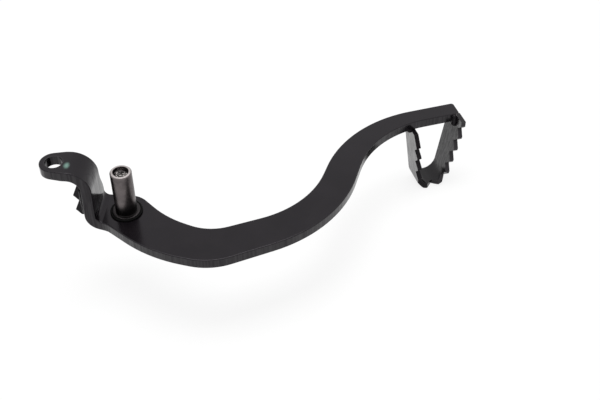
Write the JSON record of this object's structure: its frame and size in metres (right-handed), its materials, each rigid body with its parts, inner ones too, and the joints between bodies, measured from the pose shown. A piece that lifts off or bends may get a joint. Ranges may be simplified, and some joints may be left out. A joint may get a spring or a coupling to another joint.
{
  "type": "motorcycle rear brake pedal",
  "caption": "Black welded steel rear brake pedal: S-shaped plate arm, joggled ear, turned pivot shaft and serrated U-shaped foot pad.",
  "frame": {"origin": "on the pivot axis, at the face of the shaft's shoulder", "axes": "+Z along the pivot shaft towards the bike, +X forward along the arm's tip; the boot presses from -Y"},
  "size_m": [0.256, 0.0901, 0.0835],
  "materials": {
    "black_paint": "semi-gloss",
    "shaft_steel": "turned",
    "ring_rubber": "matt"
  },
  "bodies": {
    "root": {"pedal_arm": "black_paint", "pivot_shaft": "shaft_steel", "shaft_o_ring": "ring_rubber", "foot_pad": "black_paint", "spring_hook": "black_paint", "front_pad_weld": "black_paint", "rear_pad_weld": "black_paint", "hook_weld": "black_paint", "shaft_weld": "black_paint"}
  },
  "joints": []
}
